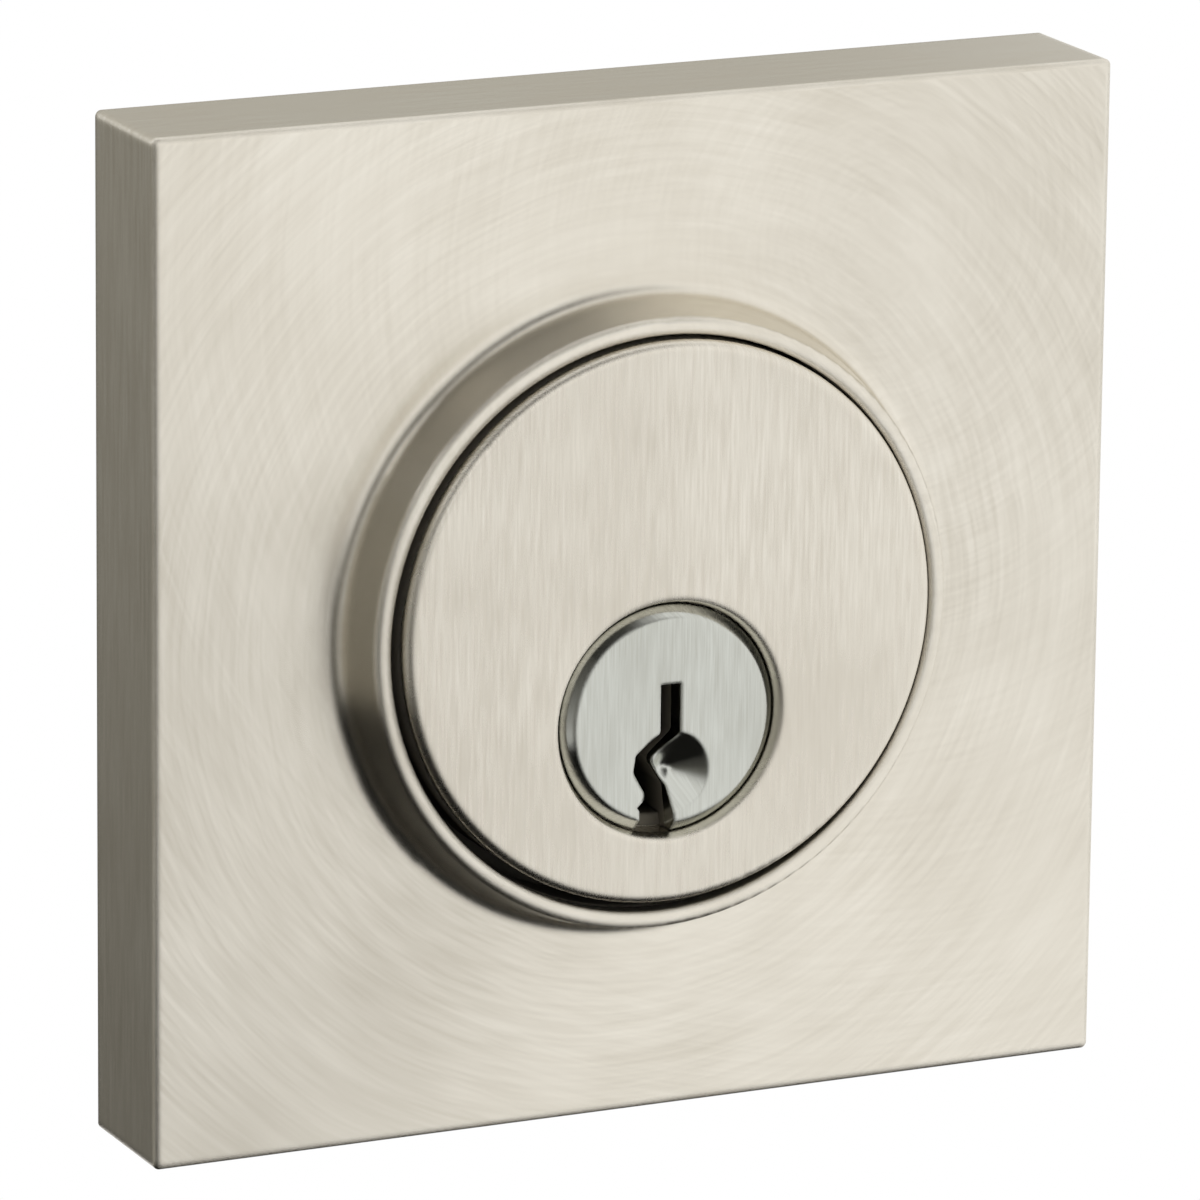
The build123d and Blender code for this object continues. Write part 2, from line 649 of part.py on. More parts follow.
def make_faceplate():
    """The plate that shows in the door's edge, with countersunk screw holes."""
    outline = RectangleRounded(FACEPLATE_WIDTH, FACEPLATE_HEIGHT, FACEPLATE_CORNER)
    plate = plate_x(outline, faceplate_back, BACKSET)
    plate = fillet(plate.faces().sort_by(Axis.X)[-1].edges(), FACEPLATE_ROUND)
    plate -= plate_x(bolt_section(BOLT_OPENING_FIT), faceplate_back, BACKSET)
    plate -= edge_screw_holes(faceplate_back, BACKSET)
    sink_r = EDGE_SCREW_SINK / 2
    hole_r = EDGE_SCREW_HOLE / 2
    sink = Cone(sink_r, hole_r, sink_r - hole_r, align=FROM_BASE)
    for side in (-1, 1):
        mouth = Plane((BACKSET, bolt_y, side * EDGE_SCREW_SPACING / 2), z_dir=(-1, 0, 0))
        plate -= mouth * sink
    return plate


# Inside trim


def make_inside_rose():
    """The plain rose inside, with the bore for the thumbturn's bush and the set screw."""
    rose = Pos(0, DOOR_THICKNESS, 0) * mirror(rose_blank(), about=Plane.XZ)
    rose -= rod_y(bush_r, inside_skin, inside_face, z=plug_z)
    half = ROSE_SIZE / 2
    return rose - rod_z(SET_SCREW_DIAMETER / 2, -half, ROSE_WALL - half, lug_y())


def lug_y():
    """Where the set screw meets the lug, along Y."""
    return (inside_plate_back + inside_skin - LUG_SKIN_GAP) / 2


def lug_foot():
    """The lower face of the lug, which the set screw presses on."""
    return ROSE_WALL + INSIDE_PLATE_CLEARANCE - ROSE_SIZE / 2


def make_inside_plate():
    """The plate on the inside of the door, with a window for the spindle and a lug."""
    side = -2 * lug_foot()
    plate = plate_y(RectangleRounded(side, side, INSIDE_PLATE_CORNER), DOOR_THICKNESS, inside_plate_back)
    plate -= rod_y(INSIDE_PLATE_WINDOW / 2, DOOR_THICKNESS, inside_plate_back, z=plug_z)
    for end in (-1, 1):
        plate -= rod_y(THROUGH_SCREW_HOLE / 2, DOOR_THICKNESS, inside_plate_back, z=end * post_z)
    lug_z = (lug_foot(), lug_foot() + LUG_THICKNESS)
    lug_top = inside_skin - LUG_SKIN_GAP
    return plate + block((-LUG_WIDTH / 2, LUG_WIDTH / 2), (DOOR_THICKNESS, lug_top), lug_z)


def make_set_screw():
    """The headless screw that holds the inside rose on its plate."""
    start = SET_SCREW_INSET - ROSE_SIZE / 2
    screw = rod_z(SET_SCREW_DIAMETER / 2, start, lug_foot(), lug_y())
    socket = Pos(0, lug_y(), start) * RegularPolygon(SET_SCREW_SOCKET / 2, 6)
    return screw - extrude(socket, amount=SET_SCREW_SOCKET)


def make_through_screw(side):
    """A long screw from the inside plate into a post of the outside plate."""
    length = inside_plate_back - post_end + THROUGH_SCREW_GRIP
    return Pos(0, inside_plate_back, side * post_z) * pan_screw(THROUGH_SCREW_DIAMETER, length)


def make_turn_bush():
    """The flanged bush that the thumbturn runs in."""
    bush = rod_y(bush_r, inside_skin, inside_face - BUSH_RECESS, z=plug_z)
    bush += rod_y(bush_r + BUSH_FLANGE, bush_back, inside_skin, z=plug_z)
    return bush - rod_y(bush_bore_r, bush_back, inside_face, z=plug_z)


def make_thumbturn():
    """The thumbturn: a stem with a clip groove, a collar and a flat grip."""
    grip_end = collar_front + TURN_REACH
    grip = Pos(0, plug_z) * RectangleRounded(TURN_WIDTH, TURN_HEIGHT, TURN_CORNER)
    turn = plate_y(grip, collar_back, grip_end)
    turn = fillet(turn.faces().sort_by(Axis.Y)[-1].edges(), TURN_ROUND)
    collar_r = TURN_COLLAR_DIAMETER / 2
    collar = rod_y(collar_r, collar_back, collar_front, z=plug_z)
    collar = fillet(circles_at(collar, collar_front, collar_r), TURN_COLLAR_ROUND)
    turn = turn + collar + rod_y(stem_r, stem_end, collar_front, z=plug_z)
    groove_front = turn_clip_front - CLIP_PLAY
    groove = rod_y(stem_r, groove_front, bush_back, z=plug_z)
    turn -= groove - rod_y(stem_r - TURN_CLIP_GROOVE, groove_front, bush_back, z=plug_z)
    return turn - tailpiece_slot(stem_end, tailpiece_end + TAILPIECE_FIT)


def group(make):
    """Two alike pieces, one each side, as separate solids of one node."""
    return Compound([make(-1).solid(), make(1).solid()])


parts = {
    "outside_rose": make_outside_rose(),
    "cylinder_shell": make_cylinder_shell(),
    "key_plug": make_key_plug(),
    "spring_cover": make_spring_cover(),
    "anti_drill_pins": group(drill_pin),
    "plug_clip": spring_clip(clip_groove_r, plug_r + CLIP_REACH, clip_front, clip_rear, CLIP_MOUTH),
    "tailpiece": make_tailpiece(),
    "tailpiece_pin": make_tailpiece_pin(),
    "outside_mount_plate": make_mount_plate(),
    "screw_posts": group(make_screw_post),
    "cylinder_screws": group(make_cylinder_screw),
    "dead_bolt": make_dead_bolt(),
    "bolt_roller": make_bolt_roller(),
    "tail_rivets": group(make_tail_rivet),
    "bolt_tail": make_bolt_tail(),
    "bolt_tube": make_bolt_tube(),
    "case_plate_outside": case_plate(bolt_y - case_outside, bolt_y - CASE_HALF_GAP),
    "case_plate_inside": case_plate(bolt_y + CASE_HALF_GAP, bolt_y + case_outside),
    "case_rivets": Compound([make_case_rivet(x).solid() for x in (-CASE_RIVET_REAR, CASE_RIVET_FRONT)]),
    "hub_cam": make_hub_cam(),
    "crank_pin": make_crank_pin(),
    "backing_plate": make_backing_plate(),
    "faceplate": make_faceplate(),
    "inside_rose": make_inside_rose(),
    "inside_mount_plate": make_inside_plate(),
    "rose_set_screw": make_set_screw(),
    "through_screws": group(make_through_screw),
    "turn_bush": make_turn_bush(),
    "turn_clip": spring_clip(
        stem_r - TURN_CLIP_GROOVE, stem_r + TURN_CLIP_REACH, turn_clip_front, turn_clip_rear, STEM_DIAMETER / 2
    ),
    "thumbturn": make_thumbturn(),
}
for number, (y, length) in enumerate(zip(pin_rows, KEY_PIN_LENGTHS), start=1):
    parts[f"key_pin_{number}"] = make_key_pin(y, length)
    parts[f"driver_pin_{number}"] = make_driver_pin(y)
    parts[f"pin_spring_{number}"] = make_pin_spring(y)

os.makedirs("parts", exist_ok=True)
for name, shape in parts.items():
    export_step(shape, f"parts/{name}.step")
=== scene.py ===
import bpy
import json
import math
from mathutils import Matrix, Vector


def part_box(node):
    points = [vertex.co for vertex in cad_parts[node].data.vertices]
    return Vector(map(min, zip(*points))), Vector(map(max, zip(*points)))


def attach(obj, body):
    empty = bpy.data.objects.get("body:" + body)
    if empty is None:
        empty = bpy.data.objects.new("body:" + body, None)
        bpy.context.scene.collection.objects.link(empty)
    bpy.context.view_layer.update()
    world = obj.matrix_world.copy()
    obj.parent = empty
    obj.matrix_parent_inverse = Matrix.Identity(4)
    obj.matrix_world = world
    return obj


# Looks of a square-rose deadbolt: satin nickel trim, a nickel silver key plug, brass pins and
# zinc-plated steel inside. All lengths are metres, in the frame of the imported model.

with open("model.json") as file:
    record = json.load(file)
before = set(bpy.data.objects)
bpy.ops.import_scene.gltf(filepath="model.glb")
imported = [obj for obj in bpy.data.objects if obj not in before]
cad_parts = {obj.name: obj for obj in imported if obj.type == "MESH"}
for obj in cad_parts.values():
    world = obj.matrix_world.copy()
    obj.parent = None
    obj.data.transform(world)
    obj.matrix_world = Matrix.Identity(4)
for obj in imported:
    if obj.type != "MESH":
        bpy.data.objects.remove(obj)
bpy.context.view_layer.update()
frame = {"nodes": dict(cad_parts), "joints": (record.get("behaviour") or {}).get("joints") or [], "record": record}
nodes = frame["nodes"]

MM = 0.001


def tint(colour, factor):
    """A colour made lighter or darker."""
    return tuple(channel * factor for channel in colour)


# Camera at the photograph's viewing angle
PHOTO_PIXELS = 1200
FOCAL_PIXELS = 9418.9
SENSOR_WIDTH = 36.0
CAMERA_YAW = math.radians(25.08)
CAMERA_PITCH = math.radians(14.72)
CAMERA_ROLL = math.radians(-0.63)
CAMERA_DISTANCE = 581.8 * MM
CAMERA_TARGET = Vector((1.72, 0.0, -1.72)) * MM
CLIP_START = 10 * MM
CLIP_BEHIND_TARGET = 14.5 * MM

# Finish colours, linear
NICKEL = (0.785, 0.748, 0.665)
HEAD_NICKEL = (0.76, 0.722, 0.64)
PLUG_NICKEL = (0.585, 0.60, 0.56)
BRASS = (0.72, 0.52, 0.25)
OLD_BRASS = (0.31, 0.28, 0.22)
ZINC = (0.60, 0.61, 0.62)
ZINC_BLOOM = (0.55, 0.54, 0.50)
HARDENED = (0.28, 0.28, 0.30)
SPRING_STEEL = (0.55, 0.55, 0.55)
NYLON = (0.82, 0.80, 0.74)

# Brush strokes: their widths, their length, the radius at which turned strokes have that length,
# how far they waver, and the second centre that some of them go round
ROSE_STROKE = 0.35 * MM
TRIM_STROKE = 0.2 * MM
PLUG_STROKE = 0.13 * MM
BROAD_STROKES = 3
STROKE_LENGTH = 5 * MM
TURNED_RADIUS = 22 * MM
WAVER_SIZE = 14 * MM
WAVER_DEPTH = 1.0 * MM
CROSSING_CENTRE = (16 * MM, 22 * MM)
CROSSING_SHARE = 0.4
SIDE_MARGIN = 0.35 * MM

# Tone of a brushed metal: sizes of its clouds and of the patches where strokes fade, the shares of
# strokes and clouds in it, the tint of its dark end, and its effect on gloss and relief
NOISE_RANGE = (0.3, 0.7)
CLOUD_SIZE = 11 * MM
PATCH_SIZE = 16 * MM
PATCH_LEAST = 0.3
MEAN_TONE = 0.5
FINE_SHARE = 0.55
BROAD_SHARE = 0.15
CLOUD_SHARE = 0.3
SHADE_TINT = (1.0, 0.972, 0.925)
TONE_RANGE = (0.2, 0.8)
GLOSS_SWING = 0.03
STROKE_RELIEF = 0.05
STROKE_DEPTH = 0.03 * MM

# Brushed pieces' edges look rounded by these radii
EDGE_ROUNDING = 0.35 * MM
HEAD_ROUNDING = 0.55 * MM
ROSE_ROUNDING = 0.65 * MM
EDGE_SAMPLES = 6

# Brushed finishes: colour, stroke width, contrast, roughness, anisotropy, the axis that the tangent
# runs round, the part of a turn that lays it across the strokes, and the edges' rounding
BRUSHED = {
    "satin_nickel_turned": (NICKEL, ROSE_STROKE, 0.11, 0.24, 0.85, "Y", 0.25, ROSE_ROUNDING),
    "satin_nickel_upright": (NICKEL, TRIM_STROKE, 0.09, 0.28, 0.6, "Z", 0.0, EDGE_ROUNDING),
    "satin_nickel_level": (NICKEL, TRIM_STROKE, 0.09, 0.28, 0.6, "X", 0.0, EDGE_ROUNDING),
    "cylinder_nickel": (HEAD_NICKEL, TRIM_STROKE, 0.12, 0.27, 0.5, "Z", 0.0, HEAD_ROUNDING),
    "plug_nickel": (PLUG_NICKEL, PLUG_STROKE, 0.2, 0.15, 0.5, "Z", 0.0, EDGE_ROUNDING),
}

# Plain finishes: colour, the colour of the clouds, roughness, and the sizes of clouds and grain
PLAIN = {
    "brass": (BRASS, tint(BRASS, 0.8), 0.28, 5 * MM, 0.2 * MM),
    "zinc_steel": (ZINC, ZINC_BLOOM, 0.33, 7 * MM, 0.25 * MM),
    "hardened_steel": (HARDENED, tint(HARDENED, 0.8), 0.3, 3 * MM, 0.2 * MM),
    "spring_steel": (SPRING_STEEL, tint(SPRING_STEEL, 0.85), 0.25, 3 * MM, 0.2 * MM),
    "nylon": (NYLON, tint(NYLON, 0.92), 0.5, 4 * MM, 0.4 * MM),
}
CLOUD_DETAIL = 4.0
CLOUD_GLOSS = 0.04
GRAIN_RELIEF = 0.03
GRAIN_DEPTH = 0.02 * MM

# Bare brass: the depths behind which it starts, the plug's bore that it lines, and how painted
# shade darkens it with depth
BARE_BEHIND_HEAD = 5.8 * MM
BARE_BEHIND_PLUG = 1.4 * MM
PLUG_BORE = 7.15 * MM
BARE_ROUGHNESS = 0.5
BARE_METALLIC = 0.6
# Painted shade: bare brass deep in a bore or keyway is darkened to this share of its colour
SHADE_DARKNESS = 0.22
SHADE_DEPTH = 4 * MM

# Groove round the cylinder's head: the radii of its two sides, and the depths behind the head's face
# where the painted shade on each begins and is full
HEAD_SIDE = 17.4 * MM
RING_SIDE = 18.05 * MM
HEAD_SHADE_DEPTHS = (0.8 * MM, 3.0 * MM)
RING_SHADE_DEPTHS = (2.2 * MM, 3.0 * MM)

# Screw threads: the shank that carries them, how far they stand proud and sink in, and their pitch
SHANK_RADIUS = 2 * MM
THREAD_PROUD = 0.22 * MM
THREAD_SUNK = 0.05 * MM
THREAD_FOOT = 0.42
THREAD_PITCH = 0.8 * MM
THREAD_STEPS = 24

# Stage: the light that the world gives, the floor, and the lamps with power, size and place
WORLD_LIGHT = 0.7
FLOOR_Z = -80 * MM
FLOOR_SIZE = 3.0
FLOOR_COLOUR = (0.92, 0.92, 0.92, 1.0)
FLOOR_ROUGHNESS = 0.9
FLOOR_FADE = (0.25, 0.9)
LAMPS = {
    "key": (2.0, 0.6, (0.35, -0.6, 0.75)),
    "fill": (1.0, 0.6, (-0.8, -0.3, 0.6)),
}

# Cards that shade the metal: the greys of foot and top, azimuth from the front and elevation, the
# angles that the card spreads over, the shares of it that fade out at left, right, foot and top, and
# how far away it is where that isn't FLAG_DISTANCE
FLAG_DISTANCE = 1.0
CLOSE_DISTANCE = 69 * MM
FLAG_TINT = (1.0, 0.975, 0.885)
FLAGS = {
    "flag_front_left": ((0.25, 0.03), (-46, 7), (47, 88), (0.15, 0.15, 0.1, 0.1)),
    "flag_front_mid": ((0.02, 0.15), (-6, -18), (56, 40), (0.1, 0.6, 0.1, 0.3)),
    "flag_front_high": ((0.02, 0.08), (-12, 57), (84, 40), (0.2, 0.35, 0.1, 0.3)),
    "flag_front_low": ((0.01, 0.01), (-11, -53), (58, 50), (0.12, 0.12, 0.15, 0.08)),
    "flag_low_left": ((0.01, 0.03), (-80, -50), (74, 52), (0.15, 0.15, 0.15, 0.15)),
    "flag_floor": ((0.02, 0.02), (0, -90), (96, 96), (0.15, 0.15, 0.15, 0.15)),
    "flag_back_left": ((0.0, 0.47), (-155, -14), (90, 38), (0.1, 0.1, 0.05, 0.05)),
    "flag_back_right": ((0.47, 0.47), (175, 18), (64, 56), (0.18, 0.18, 0.15, 0.15)),
    "flag_left": ((0.20, 0.40), (-98, -8), (54, 76), (0.15, 0.12, 0.1, 0.1)),
    "flag_close": ((0.0, 0.0), (-42, -33), (30, 26), (0.2, 0.2, 0.2, 0.2), CLOSE_DISTANCE),
}


class Graph:
    """A material's node tree, with short calls for the nodes that the finishes use."""

    def __init__(self, name):
        self.material = bpy.data.materials.new(name)
        self.material.use_nodes = True
        self.tree = self.material.node_tree
        self.shader = self.tree.nodes["Principled BSDF"]
        self.output = self.tree.nodes["Material Output"]

    def node(self, kind, **settings):
        made = self.tree.nodes.new(kind)
        for key, value in settings.items():
            setattr(made, key, value)
        return made

    def put(self, socket, value):
        """Links a socket, or sets its own value."""
        if isinstance(value, bpy.types.NodeSocket):
            self.tree.links.new(value, socket)
        else:
            socket.default_value = value

    def math(self, operation, a, b=0.0):
        made = self.node("ShaderNodeMath", operation=operation)
        self.put(made.inputs[0], a)
        self.put(made.inputs[1], b)
        return made.outputs[0]

    def total(self, *values):
        result = values[0]
        for value in values[1:]:
            result = self.math("ADD", result, value)
        return result

    def length(self, a, b):
        squares = [self.math("MULTIPLY", value, value) for value in (a, b)]
        return self.math("SQRT", self.total(*squares))

    def vector(self, x, y, z):
        made = self.node("ShaderNodeCombineXYZ")
        for socket, value in zip(made.inputs, (x, y, z)):
            self.put(socket, value)
        return made.outputs[0]

    def place(self):
        """The piece's own coordinates, which move with it: X, Y and Z."""
        coordinates = self.node("ShaderNodeTexCoord")
        split = self.node("ShaderNodeSeparateXYZ")
        self.put(split.inputs[0], coordinates.outputs["Object"])
        return split.outputs[0], split.outputs[1], split.outputs[2]

    def noise(self, vector, scale=1.0, detail=2.0, roughness=0.5):
        made = self.node("ShaderNodeTexNoise")
        self.put(made.inputs["Vector"], vector)
        made.inputs["Scale"].default_value = scale
        made.inputs["Detail"].default_value = detail
        made.inputs["Roughness"].default_value = roughness
        return made.outputs["Fac"]

    def span(self, value, low, high, new_low, new_high):
        """A value moved from one range to another, and held within it."""
        made = self.node("ShaderNodeMapRange", clamp=True)
        self.put(made.inputs["Value"], value)
        ends = {"From Min": low, "From Max": high, "To Min": new_low, "To Max": new_high}
        for key, number in ends.items():
            self.put(made.inputs[key], number)
        return made.outputs["Result"]

    def spread(self, noise):
        """Noise stretched to fill 0 to 1."""
        return self.span(noise, *NOISE_RANGE, 0, 1)

    def mix(self, factor, first, second):
        made = self.node("ShaderNodeMix", data_type="FLOAT")
        self.put(made.inputs["Factor"], factor)
        self.put(made.inputs["A"], first)
        self.put(made.inputs["B"], second)
        return made.outputs["Result"]

    def colour(self, factor, first, second):
        """A mix of two colours, at the node's sockets for them."""
        made = self.node("ShaderNodeMix", data_type="RGBA")
        self.put(made.inputs["Factor"], factor)
        for socket, value in ((made.inputs[6], first), (made.inputs[7], second)):
            self.put(socket, (*value, 1.0) if isinstance(value, tuple) else value)
        return made.outputs[2]

    def bump(self, height, strength, distance, rounding=0.0):
        """Relief from a height, on edges that look rounded by a radius."""
        made = self.node("ShaderNodeBump")
        made.inputs["Strength"].default_value = strength
        made.inputs["Distance"].default_value = distance
        self.put(made.inputs["Height"], height)
        if rounding:
            edges = self.node("ShaderNodeBevel", samples=EDGE_SAMPLES)
            edges.inputs["Radius"].default_value = rounding
            self.put(made.inputs["Normal"], edges.outputs["Normal"])
        self.put(self.shader.inputs["Normal"], made.outputs["Normal"])

    def set(self, **inputs):
        for key, value in inputs.items():
            self.put(self.shader.inputs[key.replace("_", " ")], value)


def turned_strokes(graph, centre=(0.0, 0.0)):
    """Strokes in wavering circles about a centre, and along the edges on a rose's four sides.
    Gives the distance across the strokes and two along them."""
    x, y, z = graph.place()
    coordinates = graph.node("ShaderNodeTexCoord")
    waver = graph.noise(coordinates.outputs["Object"], scale=1 / WAVER_SIZE)
    from_x = graph.math("SUBTRACT", x, centre[0])
    from_z = graph.math("SUBTRACT", z, centre[1])
    radius = graph.length(from_x, from_z)
    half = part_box("outside_rose")[1].x
    outer = graph.math("MAXIMUM", graph.math("ABSOLUTE", x), graph.math("ABSOLUTE", z))
    side = graph.math("GREATER_THAN", outer, half - SIDE_MARGIN)
    turn = graph.math("DIVIDE", TURNED_RADIUS, radius)
    along_x = graph.mix(side, graph.math("MULTIPLY", from_x, turn), x)
    along_z = graph.mix(side, graph.math("MULTIPLY", from_z, turn), z)
    across = graph.total(radius, y, graph.math("MULTIPLY", waver, WAVER_DEPTH))
    return graph.mix(side, across, y), along_x, along_z


def crossing_strokes(graph):
    """Strokes in circles about a point beside the axis."""
    return turned_strokes(graph, CROSSING_CENTRE)


def upright_strokes(graph):
    """Strokes along Z: the distance across them and two along them."""
    x, y, z = graph.place()
    return graph.math("ADD", x, y), z, z


def level_strokes(graph):
    """Strokes along X: the distance across them and two along them."""
    x, y, z = graph.place()
    return graph.math("ADD", y, z), x, x


def stroke_noise(graph, strokes, width):
    """Noise as wide as a stroke across it, and as long along it."""
    across, first, second = strokes
    return graph.spread(graph.noise(graph.vector(
        graph.math("DIVIDE", across, width),
        graph.math("DIVIDE", first, STROKE_LENGTH),
        graph.math("DIVIDE", second, STROKE_LENGTH),
    )))


def stroke_tone(graph, courses, width):
    """The tone of strokes along courses, with clouds and patches, and its broad strokes alone."""
    lines = [course(graph) for course in courses]
    fine = stroke_noise(graph, lines[0], width)
    for line in lines[1:]:
        fine = graph.mix(CROSSING_SHARE, fine, stroke_noise(graph, line, width))
    broad = stroke_noise(graph, lines[0], width * BROAD_STROKES)
    place = graph.node("ShaderNodeTexCoord").outputs["Object"]
    cloud = graph.spread(graph.noise(place, scale=1 / CLOUD_SIZE))
    patch = graph.spread(graph.noise(place, scale=1 / PATCH_SIZE, detail=1.0))
    fine = graph.mix(graph.span(patch, 0, 1, PATCH_LEAST, 1), MEAN_TONE, fine)
    tone = graph.total(
        graph.math("MULTIPLY", fine, FINE_SHARE),
        graph.math("MULTIPLY", broad, BROAD_SHARE),
        graph.math("MULTIPLY", cloud, CLOUD_SHARE),
    )
    return tone, broad


def brushed(name, *courses):
    """A brushed metal whose strokes and clouds vary its colour, gloss and relief."""
    colour, width, contrast, roughness, anisotropic, axis, rotation, rounding = BRUSHED[name]
    graph = Graph(name)
    tone, broad = stroke_tone(graph, courses, width)
    shade = tuple(channel * warmth for channel, warmth in zip(colour, SHADE_TINT))
    graph.base = graph.colour(tone, tint(shade, 1 - contrast), tint(colour, 1 + contrast))
    graph.gloss = graph.span(tone, *TONE_RANGE, roughness + GLOSS_SWING, roughness - GLOSS_SWING)
    graph.set(Base_Color=graph.base, Roughness=graph.gloss)
    graph.set(Metallic=1.0, Anisotropic=anisotropic, Anisotropic_Rotation=rotation)
    tangent = graph.node("ShaderNodeTangent", direction_type="RADIAL", axis=axis)
    graph.put(graph.shader.inputs["Tangent"], tangent.outputs[0])
    graph.bump(broad, STROKE_RELIEF, STROKE_DEPTH, rounding)
    return graph


def bare_and_shaded_where(graph, factor, depth):
    """Shows dull brass where the factor is 1, darkened by painted shade where the depth is 1."""
    # Painted shade: the dull brass is darkened as the depth goes to 1, as shade falls in a bore or groove
    shaded_dull_brass = graph.colour(depth, OLD_BRASS, tint(OLD_BRASS, SHADE_DARKNESS))
    graph.set(Base_Color=graph.colour(factor, graph.base, shaded_dull_brass))
    graph.set(Roughness=graph.mix(factor, graph.gloss, BARE_ROUGHNESS))
    graph.set(Metallic=graph.mix(factor, 1.0, BARE_METALLIC))


def plain(name, metallic=1.0):
    """A finish with clouds of a second colour and a fine even grain."""
    colour, stain, roughness, cloud_size, grain_size = PLAIN[name]
    graph = Graph(name)
    place = graph.node("ShaderNodeTexCoord").outputs["Object"]
    cloud = graph.spread(graph.noise(place, scale=1 / cloud_size, detail=CLOUD_DETAIL))
    grain = graph.noise(place, scale=1 / grain_size)
    graph.set(Base_Color=graph.colour(cloud, colour, stain), Metallic=metallic)
    graph.set(Roughness=graph.span(cloud, 0, 1, roughness - CLOUD_GLOSS, roughness + CLOUD_GLOSS))
    graph.bump(grain, GRAIN_RELIEF, GRAIN_DEPTH)
    return graph


def make_rose_finish():
    """Nickel brushed in circles, with painted shade in dark dull brass down the inside of the outer rose's ring.
    """
    graph = brushed("satin_nickel_turned", turned_strokes, crossing_strokes)
    x, y, z = graph.place()
    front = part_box("cylinder_shell")[0].y
    inside = graph.math("LESS_THAN", graph.length(x, z), RING_SIDE)
    outside_door = graph.math("LESS_THAN", y, 0.0)
    bore = graph.math("MULTIPLY", inside, outside_door)
    # Painted shade: deep in the ring's bore the nickel is painted dark dull brass, as shade in the groove round
    # the head
    groove_shade = graph.span(y, front + RING_SHADE_DEPTHS[0], front + RING_SHADE_DEPTHS[1], 0, 1)
    bare_and_shaded_where(graph, graph.math("MULTIPLY", bore, groove_shade), 1.0)
    return graph


def make_shell_finish():
    """Nickel on the cylinder's head, brass behind it and in the plug's bore, painted shade that darkens the bore
    with depth, and painted shade in dark brass round its edge in the groove.
    """
    graph = brushed("cylinder_nickel", upright_strokes)
    x, y, z = graph.place()
    joints = {joint["name"]: joint for joint in frame["joints"]}
    plug_z = joints["key_turn"]["pos_m"][2]
    low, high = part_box("cylinder_shell")
    front = low.y
    from_axis = graph.length(x, graph.math("SUBTRACT", z, plug_z))
    bored = graph.math("LESS_THAN", from_axis, PLUG_BORE)
    behind = graph.math("GREATER_THAN", y, front + BARE_BEHIND_HEAD)
    head_z = high.z - high.x
    from_middle = graph.length(x, graph.math("SUBTRACT", z, head_z))
    edge = graph.math("GREATER_THAN", from_middle, HEAD_SIDE)
    # Painted shade: the head's side in the groove turns to dark dull brass from behind its face
    groove_shade = graph.span(y, front + HEAD_SHADE_DEPTHS[0], front + HEAD_SHADE_DEPTHS[1], 0, 1)
    groove_shade = graph.math("MULTIPLY", edge, groove_shade)
    # Painted shade: the brass in the plug's bore darkens with depth behind the head's face
    depth = graph.math("SUBTRACT", graph.span(y, front, front + SHADE_DEPTH, 0, 1), behind)
    bare = graph.math("MAXIMUM", bored, behind)
    bare_and_shaded_where(graph, graph.math("MAXIMUM", bare, groove_shade), graph.math("MAXIMUM", depth, groove_shade))
    return graph


def make_plug_finish():
    """Nickel silver, dull brass inside the keyway, darkened with depth by painted shade."""
    graph = brushed("plug_nickel", upright_strokes)
    _, y, _ = graph.place()
    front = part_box("key_plug")[0].y
    bare = graph.math("GREATER_THAN", y, front + BARE_BEHIND_PLUG)
    # Painted shade: the keyway's brass darkens with depth behind the plug's face
    bare_and_shaded_where(graph, bare, graph.span(y, front + BARE_BEHIND_PLUG, front + SHADE_DEPTH, 0, 1))
    return graph


def make_finishes():
    """One finish for each slot, and more for the trim's brushing."""
    return {
        "rose": make_rose_finish(),
        "trim": brushed("satin_nickel_upright", upright_strokes),
        "dead_bolt": brushed("satin_nickel_level", level_strokes),
        "cylinder_shell": make_shell_finish(),
        "plug_nickel": make_plug_finish(),
        "brass": plain("brass"),
        "zinc_steel": plain("zinc_steel"),
        "hardened_steel": plain("hardened_steel"),
        "spring_steel": plain("spring_steel"),
        "nylon": plain("nylon", metallic=0.0),
    }


def finish_of(name, slot):
    """The finish of a node: its slot's, or for the trim the brushing that suits its form."""
    if slot != "satin_nickel":
        return slot
    if name in ("dead_bolt", "cylinder_shell"):
        return name
    return "rose" if "rose" in name else "trim"


def assign_finishes(finishes):
    for part in frame["record"]["subparts"]:
        material = finishes[finish_of(part["node"], part["material_slot"])].material
        for holder in nodes[part["node"]].material_slots:
            holder.material = material


def thread_mesh(name, axis_z, start, end):
    """A three-sided ridge wound along Y on a shank, easing in and out over a turn."""
    count = int((end - start) / THREAD_PITCH * THREAD_STEPS)
    foot = THREAD_PITCH * THREAD_FOOT
    points = []
    for step in range(count + 1):
        angle = 2 * math.pi * step / THREAD_STEPS
        y = start + THREAD_PITCH * step / THREAD_STEPS
        ease = min(1.0, step / THREAD_STEPS, (count - step) / THREAD_STEPS)
        for shift, rise in ((-foot, -THREAD_SUNK), (0.0, THREAD_PROUD * ease), (foot, -THREAD_SUNK)):
            reach = SHANK_RADIUS + rise
            points.append((reach * math.cos(angle), y + shift, axis_z + reach * math.sin(angle)))
    faces = []
    for step in range(count):
        low, high = 3 * step, 3 * step + 3
        for edge, following in ((0, 1), (1, 2), (2, 0)):
            faces.append((low + edge, low + following, high + following, high + edge))
    faces.append((2, 1, 0))
    faces.append((3 * count, 3 * count + 1, 3 * count + 2))
    mesh = bpy.data.meshes.new(name)
    mesh.from_pydata(points, [], faces)
    mesh.update()
    return mesh


def make_thread(name, axis_z, start, end, material):
    """The thread of one through-screw."""
    mesh = thread_mesh(name, axis_z, start, end)
    mesh.materials.append(material)
    thread = bpy.data.objects.new(name, mesh)
    bpy.context.scene.collection.objects.link(thread)
    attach(thread, "housing")


